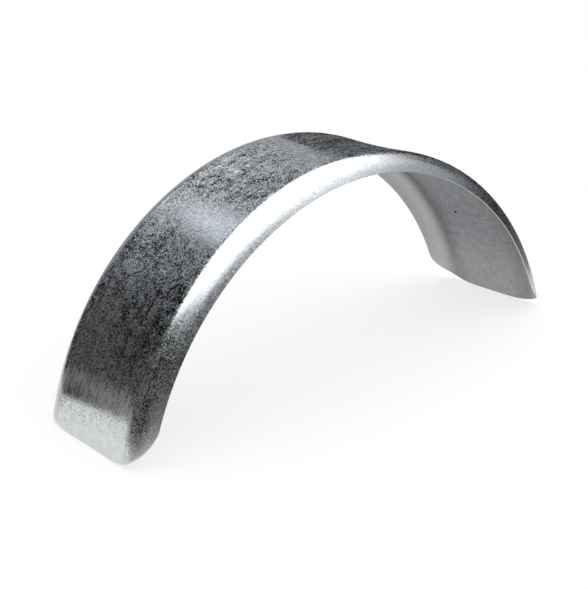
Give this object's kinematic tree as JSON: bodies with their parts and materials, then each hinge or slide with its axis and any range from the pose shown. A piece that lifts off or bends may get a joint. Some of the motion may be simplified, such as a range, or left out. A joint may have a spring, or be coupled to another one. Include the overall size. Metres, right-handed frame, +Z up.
{
  "type": "trailer fender",
  "caption": "Arched wheel fender for a small trailer: a shallow dished tread with both sides bent down and round corners at its cut ends.",
  "frame": {"origin": "on the ground below the middle of the arch, half way between its two cut ends and between its two sides", "axes": "+X along the arch from one cut end to the other, +Y across the tread, +Z up to the top of the arch"},
  "size_m": [0.7172, 0.2, 0.2926],
  "materials": {
    "galvanised_steel": "hot-dip galvanised, satin, fine speckle"
  },
  "bodies": {
    "root": {"fender": "galvanised_steel"}
  },
  "joints": []
}
